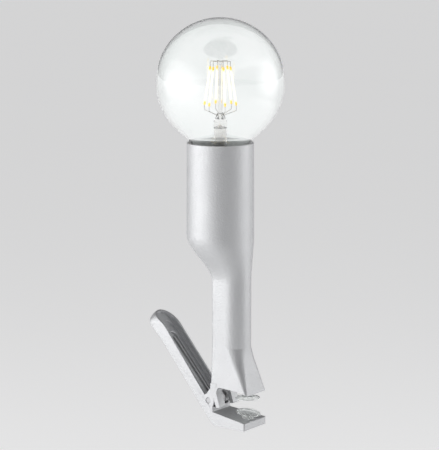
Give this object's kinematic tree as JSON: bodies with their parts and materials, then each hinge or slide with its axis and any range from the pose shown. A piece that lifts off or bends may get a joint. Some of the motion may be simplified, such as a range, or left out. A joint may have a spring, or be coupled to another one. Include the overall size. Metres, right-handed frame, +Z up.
{
  "type": "clip-on reading lamp",
  "caption": "Clip-on lamp: an upright tubular lampholder on a spring jaw clip with soft pads, a cranked squeeze lever, and a bare clear globe bulb that screws out upwards.",
  "frame": {"origin": "middle of the grip between the two pads, on the lamp's middle plane", "axes": "+Z up along the tube towards the bulb, +X out of the open end of the jaws, +Y along the hinge pin"},
  "size_m": [0.1067, 0.095, 0.3026],
  "materials": {
    "silver_paint": "die-cast, with a fine-textured metallic silver powder coat",
    "steel": "zinc-plated, satin",
    "spring_steel": "drawn spring wire, satin",
    "clear_silicone": "clear soft rubber, smooth",
    "brass": "turned, slightly dull",
    "ceramic": "glazed off-white porcelain",
    "black_plastic": "moulded, matt",
    "glass": "clear blown glass, polished",
    "stem_glass": "clear drawn glass",
    "filament": "phosphor-coated strip, lit",
    "nickel": "nickel-plated, formed",
    "black_glass": "fused black glass",
    "lead_alloy": "dull solder",
    "circuit_board": "varnished board"
  },
  "bodies": {
    "lamp_body": {"body_casting": "silver_paint", "hinge_bushes": "brass", "torsion_spring": "spring_steel", "upper_pad": "clear_silicone", "cord_inlet_bush": "black_plastic", "holder_base": "ceramic", "holder_insert": "ceramic", "holder_terminal_screws": "brass", "holder_screw_shell": "nickel", "holder_skirt": "ceramic", "holder_centre_contact": "brass", "holder_side_contact": "brass", "holder_nipple": "brass", "holder_nut": "steel", "holder_plate": "steel", "plate_screws": "steel", "earth_screw": "brass"},
    "lever": {"lever": "silver_paint", "hinge_pin": "steel", "lower_pad": "clear_silicone"},
    "bulb_tip": {"bulb_cap_contact": "lead_alloy"},
    "bulb": {"bulb_glass": "glass", "bulb_stem": "stem_glass", "bulb_filaments": "filament", "bulb_filament_ends": "steel", "bulb_support_wires": "steel", "bulb_lead_wires": "steel", "bulb_cap": "nickel", "bulb_cap_insulator": "black_glass", "bulb_driver": "circuit_board"}
  },
  "joints": [
    {"name": "lever_hinge", "type": "hinge", "parent": "lamp_body", "child": "lever", "pos_m": [-0.0277, 0, 0.002], "axis": [0, 1, 0], "range_deg": [0, 30], "stiffness_Nm_per_rad": 0.25, "springref_deg": -68.75, "deforming": ["torsion_spring"]},
    {"name": "bulb_lift", "type": "slide", "parent": "lamp_body", "child": "bulb_tip", "axis": [0, 0, 1], "range_m": [0, 0.0182]},
    {"name": "bulb_turn", "type": "hinge", "parent": "bulb_tip", "child": "bulb", "pos_m": [-0.0245, 0, 0.2], "axis": [0, 0, 1], "range_deg": [0, 1800]}
  ],
  "couplings": [
    {"joint": "bulb_lift", "follows": "bulb_turn", "m_per_rad": 0.00057757}
  ]
}
